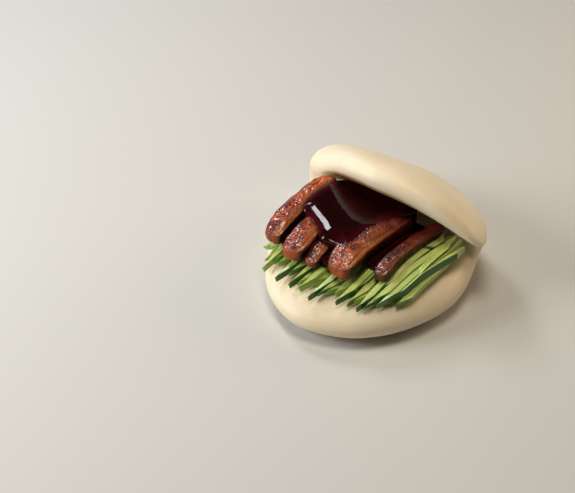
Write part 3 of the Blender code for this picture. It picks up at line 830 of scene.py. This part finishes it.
# Sauce that has seeped forward between the slices, down on the cucumber, and also darkens those gaps as
# painted shade.
SEEP_TOP = 30.4
SEEP_RIMS = (
    ((-29.5, -32.0, 29.4, 2.0), (-26.0, -35.0, 29.4, 2.0), (-23.0, -30.0, 29.4, 2.0),
     (-23.5, -12.0, 29.4, 2.0), (-29.5, -12.0, 29.4, 2.0)),
    ((-15.5, -34.0, 29.4, 2.0), (-12.5, -36.5, 29.4, 2.0), (-9.5, -33.0, 29.4, 2.0),
     (-9.0, -20.0, 29.4, 2.0), (-15.5, -20.0, 29.4, 2.0)),
    ((-6.5, -31.0, 29.4, 2.0), (-2.0, -34.5, 29.4, 2.0), (2.5, -31.5, 29.4, 2.0),
     (3.5, -20.0, 29.4, 2.0), (-7.0, -20.0, 29.4, 2.0)),
)
print("sauce pools:", 2 + len(SEEP_RIMS))

# %% Helpers for a pool


def spline_point(points, place):
    """A point on the closed smooth curve through the points; place counts in points."""
    count = len(points)
    index = int(place) % count
    share = place - int(place)
    a, b, c, d = (Vector(points[(index + offset) % count]) for offset in (-1, 0, 1, 2))
    return 0.5 * (2 * b + (c - a) * share + (2 * a - 5 * b + 4 * c - d) * share**2
                  + (3 * b - a - 3 * c + d) * share**3)


def pool(points, faces, rim_points, top, bottom, around=150, rings=34):
    """Adds a closed pool: from every place on its rim the surface rises to its top like a rounded lip."""
    rim = np.array([spline_point(rim_points, step * len(rim_points) / around) for step in range(around)])
    centre = rim[:, :2].mean(axis=0)
    start = len(points)
    for ring in range(1, rings + 1):
        share = sin(pi / 2 * ring / rings)
        for spot in rim:
            plan = centre + (spot[:2] - centre) * share
            nearest = np.argsort(((rim[:, :2] - plan) ** 2).sum(axis=1))[:3]
            reach = sqrt(((rim[nearest[0], :2] - plan) ** 2).sum())
            edge, width = rim[nearest, 2].mean(), rim[nearest, 3].mean()
            inwards = max(0.0, 1 - reach / width)
            height = edge + (top - edge) * sqrt(1 - inwards**2)
            points.append((plan[0] * MM, plan[1] * MM, height * MM))
    points += [(spot[0] * MM, spot[1] * MM, bottom * MM) for spot in rim]
    for ring in range(rings):
        low = start + ring * around
        for here in range(around):
            after = (here + 1) % around
            faces.append((low + here, low + around + here, low + around + after, low + after))
    first = len(points)
    points.append((centre[0] * MM, centre[1] * MM, top * MM))
    points.append((centre[0] * MM, centre[1] * MM, bottom * MM))
    last_ring = start + rings * around
    for here in range(around):
        after = (here + 1) % around
        faces.append((first, start + here, start + after))
        faces.append((first + 1, last_ring + after, last_ring + here))


# %% Sauce mesh
SAUCE_VOXEL = 0.45 * MM
SAUCE_RIPPLE = 0.04 * MM
SAUCE_RIPPLE_SIZE = 9 * MM

points, faces = [], []
pool(points, faces, POOL_RIM, POOL_TOP, POOL_BOTTOM)
# The gully and the seeped pools are sauce and also painted shade in the gaps between the slices.
pool(points, faces, GULLY_RIM, GULLY_TOP, CUCUMBER_LEVEL)
for rim in SEEP_RIMS:
    pool(points, faces, rim, SEEP_TOP, CUCUMBER_LEVEL, around=40, rings=8)
mesh = bpy.data.meshes.new("dark_sauce")
mesh.from_pydata(points, [], faces)
sauce = link(bpy.data.objects.new("dark_sauce", mesh))
remesh(sauce, SAUCE_VOXEL)
relax(sauce, 16)
bake_modifiers(sauce)
sauce_points = points_of(sauce.data)
ripples = SAUCE_RIPPLE * noise_at(sauce_points, SAUCE_RIPPLE_SIZE, 2.0)
sauce_points += normals_of(sauce.data) * ripples[:, None]
move_points(sauce.data, sauce_points)
sauce.data.shade_smooth()
print("sauce faces:", len(sauce.data.polygons))

# %% [markdown]
# Sauce is redder where it is thin, the meat next to it is soaked and dark, and the underside of the lid
# above it gets painted shade, brown and then dark, with a little sauce stain. All three are distances that
# are measured once and kept on the points: from the sauce down to the meat, from the meat to the sauce,
# and from the dough to the sauce.

# %% Thin sauce, soaked meat, and painted shade on the dough
SOAK_REACH = 2.2 * MM
SHADE_AND_STAIN_REACH = 20 * MM
THIN_SAUCE = 2.5 * MM


def clearance(places, found, reach):
    """Distance from each point to the surface, at most reach."""
    hits = (found.find_nearest(Vector(place), reach)[3] for place in places)
    return np.array([reach if distance is None else distance for distance in hits])


sauce_tree = BVHTree.FromObject(sauce, bpy.context.evaluated_depsgraph_get())
for piece in slices:
    gap = clearance(points_of(piece.data), sauce_tree, SOAK_REACH)
    store(piece.data, "soak", 1 - step_between(gap, 0.0, SOAK_REACH))
# Painted shade, with a little sauce stain, on the dough that faces down near the sauce.
dough_gap = clearance(points_of(dough.data), sauce_tree, SHADE_AND_STAIN_REACH)
facing_down = step_between(-normals_of(dough.data)[:, 2], 0.0, 0.6)
store(dough.data, "painted_shade_and_stain", facing_down * (1 - step_between(dough_gap, 1 * MM, SHADE_AND_STAIN_REACH)))
slice_trees = [BVHTree.FromObject(piece, bpy.context.evaluated_depsgraph_get()) for piece in slices]
sauce_places = points_of(sauce.data)
cover = np.full(len(sauce_places), THIN_SAUCE)
for found in slice_trees:
    cover = np.minimum(cover, clearance(sauce_places, found, THIN_SAUCE))
store(sauce.data, "thin", 1 - step_between(cover, 0.3 * MM, THIN_SAUCE))

# %% Sauce material
syrup = new_material("dark sauce")
tree = syrup.node_tree
place = object_place(tree)
haze = mottled(tree, place, 110.0, 0.4, 0.7)
deep = blend_colours(tree, haze, colour(0.012, 0.0010, 0.0015), colour(0.022, 0.0015, 0.002))
shader = add(tree, "ShaderNodeBsdfPrincipled", {
    "Base Color": blend_colours(tree, attribute(tree, "thin"), deep, colour(0.055, 0.003, 0.005)),
    "Roughness": between(tree, haze, 0.0, 1.0, 0.05, 0.10), "Specular IOR Level": 0.27,
})
finish_material(syrup, shader)
sauce.data.materials.append(syrup)

# %% [markdown]
# ## The floor, and the last lines
#
# The floor is a pale matte sheet. Then each piece is attached to the body it moves with, and the part of
# the model that it stands for is hidden.

# %% Floor
FLOOR_HALF = 1.5

shape = bmesh.new()
bmesh.ops.create_grid(shape, x_segments=1, y_segments=1, size=FLOOR_HALF)
mesh = bpy.data.meshes.new("floor")
shape.to_mesh(mesh)
shape.free()
floor = link(bpy.data.objects.new("floor", mesh))
paper = new_material("pale paper")
tree = paper.node_tree
fibre = add(tree, "ShaderNodeTexNoise",
            {"Vector": object_place(tree), "Scale": 900.0, "Detail": 2.0}).outputs[0]
shader = add(tree, "ShaderNodeBsdfPrincipled", {
    "Base Color": blend_colours(tree, fibre, colour(0.62, 0.615, 0.60), colour(0.66, 0.655, 0.64)),
    "Roughness": 0.8})
finish_material(paper, shader)
floor.data.materials.append(paper)

for piece, nodes, slot in [(dough, ["bun"], "dough"), (cucumber, ["cucumber"], "cucumber"),
                           (sauce, ["sauce"], "sauce")]:
    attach(piece, "root")
    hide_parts(*nodes)
for number, piece in enumerate(slices, 1):
    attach(piece, "root")
    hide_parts(f"meat_{number}")
